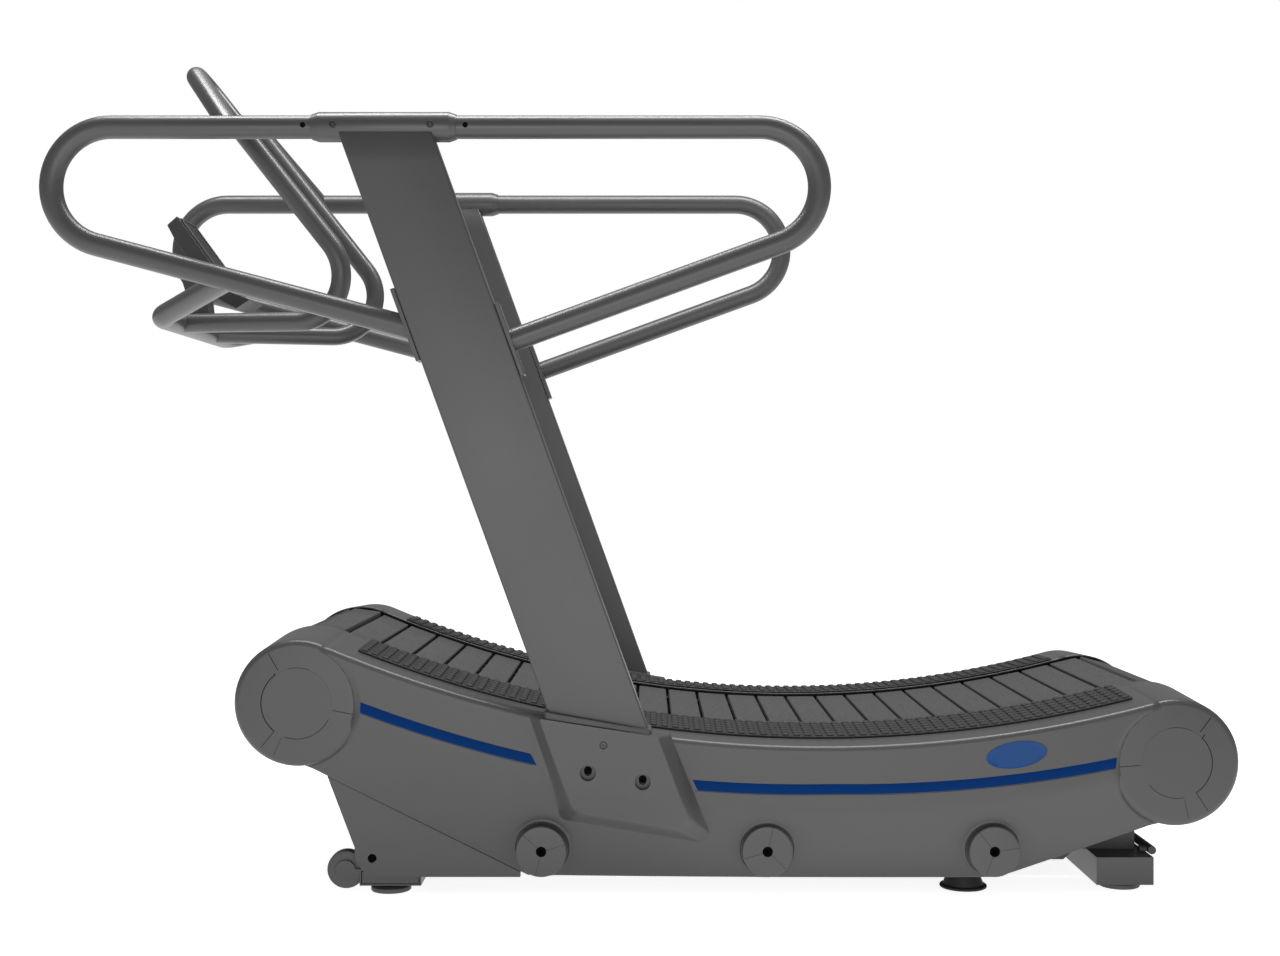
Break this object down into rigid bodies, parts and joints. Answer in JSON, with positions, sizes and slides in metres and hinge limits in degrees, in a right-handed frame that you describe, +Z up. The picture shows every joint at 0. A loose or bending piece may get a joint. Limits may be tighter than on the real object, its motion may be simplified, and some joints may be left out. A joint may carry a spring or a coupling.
{
  "type": "curved manual treadmill",
  "caption": "Curved manual treadmill with a dished slat belt, side shells, raked uprights, looped hand rails, push handles and a small console.",
  "frame": {"origin": "on the floor, under the centre of the whole machine", "axes": "+Z up; +X towards the rear, so the runner faces -X; +Y is the runner's right side"},
  "size_m": [2.178, 0.933, 1.5492],
  "materials": {
    "grey_paint": "satin grey powder coat, fine orange peel",
    "dark_paint": "satin dark grey powder coat",
    "shell_plastic": "matt grey moulded plastic, fine grain",
    "slat_rubber": "grey rubber-faced slats, fine grain",
    "tread_rubber": "dark grey rubber tread with raised pads",
    "steel": "turned steel",
    "black_rubber": "black moulded rubber",
    "console_plastic": "black moulded plastic, light grain",
    "screen": "dark gloss panel"
  },
  "bodies": {
    "frame": {"side_frame_left": "dark_paint", "bearing_rail_left": "steel", "frame_beam_left": "dark_paint", "side_shell_left": "shell_plastic", "leg_cover_left": "grey_paint", "tread_plate_left": "tread_rubber", "upright_left": "grey_paint", "rail_sleeve_left": "grey_paint", "handrail_front_left": "grey_paint", "handrail_rear_left": "grey_paint", "push_handle_left": "grey_paint", "drum_cap_front_left": "shell_plastic", "drum_cap_rear_left": "shell_plastic", "bolt_cap_front_left": "shell_plastic", "bolt_cap_middle_left": "shell_plastic", "bolt_cap_rear_left": "shell_plastic", "side_frame_right": "dark_paint", "bearing_rail_right": "steel", "frame_beam_right": "dark_paint", "side_shell_right": "shell_plastic", "leg_cover_right": "grey_paint", "tread_plate_right": "tread_rubber", "upright_right": "grey_paint", "rail_sleeve_right": "grey_paint", "handrail_front_right": "grey_paint", "handrail_rear_right": "grey_paint", "push_handle_right": "grey_paint", "drum_cap_front_right": "shell_plastic", "drum_cap_rear_right": "shell_plastic", "bolt_cap_front_right": "shell_plastic", "bolt_cap_middle_right": "shell_plastic", "bolt_cap_rear_right": "shell_plastic", "cross_member_front": "dark_paint", "cross_member_middle": "dark_paint", "cross_member_rear": "dark_paint", "front_axle": "steel", "front_foot_beam": "grey_paint", "rear_axle": "steel", "rear_foot_beam": "grey_paint", "lift_handle": "dark_paint", "running_belt": "slat_rubber", "console_crossbar": "grey_paint", "console_bracket": "grey_paint", "console_housing": "console_plastic", "console_screen": "screen"},
    "front_roller": {"front_roller": "steel"},
    "rear_roller": {"rear_roller": "steel"},
    "transport_wheel_left": {"transport_wheel_left": "black_rubber"},
    "front_foot_left": {"front_foot_left": "black_rubber"},
    "middle_foot_left": {"middle_foot_left": "black_rubber"},
    "rear_foot_left": {"rear_foot_left": "black_rubber"},
    "transport_wheel_right": {"transport_wheel_right": "black_rubber"},
    "front_foot_right": {"front_foot_right": "black_rubber"},
    "middle_foot_right": {"middle_foot_right": "black_rubber"},
    "rear_foot_right": {"rear_foot_right": "black_rubber"},
    "console_button_left": {"console_button_left": "black_rubber"},
    "console_button_middle": {"console_button_middle": "black_rubber"},
    "console_button_right": {"console_button_right": "black_rubber"}
  },
  "joints": [
    {"name": "front_roller_spin", "type": "hinge", "parent": "frame", "child": "front_roller", "pos_m": [-0.6203, 0, 0.3574], "axis": [0, 1, 0], "continuous": true},
    {"name": "rear_roller_spin", "type": "hinge", "parent": "frame", "child": "rear_roller", "pos_m": [0.9657, 0, 0.2502], "axis": [0, 1, 0], "continuous": true},
    {"name": "transport_wheel_left_spin", "type": "hinge", "parent": "frame", "child": "transport_wheel_left", "pos_m": [-0.5437, -0.357, 0.042], "axis": [0, 1, 0], "continuous": true},
    {"name": "transport_wheel_right_spin", "type": "hinge", "parent": "frame", "child": "transport_wheel_right", "pos_m": [-0.5437, 0.357, 0.042], "axis": [0, 1, 0], "continuous": true},
    {"name": "front_foot_left_screw", "type": "slide", "parent": "frame", "child": "front_foot_left", "axis": [0, 0, -1], "range_m": [0, 0.012]},
    {"name": "front_foot_right_screw", "type": "slide", "parent": "frame", "child": "front_foot_right", "axis": [0, 0, -1], "range_m": [0, 0.012]},
    {"name": "middle_foot_left_screw", "type": "slide", "parent": "frame", "child": "middle_foot_left", "axis": [0, 0, -1], "range_m": [0, 0.012]},
    {"name": "middle_foot_right_screw", "type": "slide", "parent": "frame", "child": "middle_foot_right", "axis": [0, 0, -1], "range_m": [0, 0.012]},
    {"name": "rear_foot_left_screw", "type": "slide", "parent": "frame", "child": "rear_foot_left", "axis": [0, 0, -1], "range_m": [0, 0.012]},
    {"name": "rear_foot_right_screw", "type": "slide", "parent": "frame", "child": "rear_foot_right", "axis": [0, 0, -1], "range_m": [0, 0.012]},
    {"name": "console_button_left_press", "type": "slide", "parent": "frame", "child": "console_button_left", "axis": [-0.808, 0, -0.5892], "range_m": [0, 0.0015], "stiffness_N_per_m": 300},
    {"name": "console_button_middle_press", "type": "slide", "parent": "frame", "child": "console_button_middle", "axis": [-0.808, 0, -0.5892], "range_m": [0, 0.0015], "stiffness_N_per_m": 300},
    {"name": "console_button_right_press", "type": "slide", "parent": "frame", "child": "console_button_right", "axis": [-0.808, 0, -0.5892], "range_m": [0, 0.0015], "stiffness_N_per_m": 300}
  ],
  "couplings": [
    {"joint": "rear_roller_spin", "follows": "front_roller_spin", "ratio": 1}
  ]
}
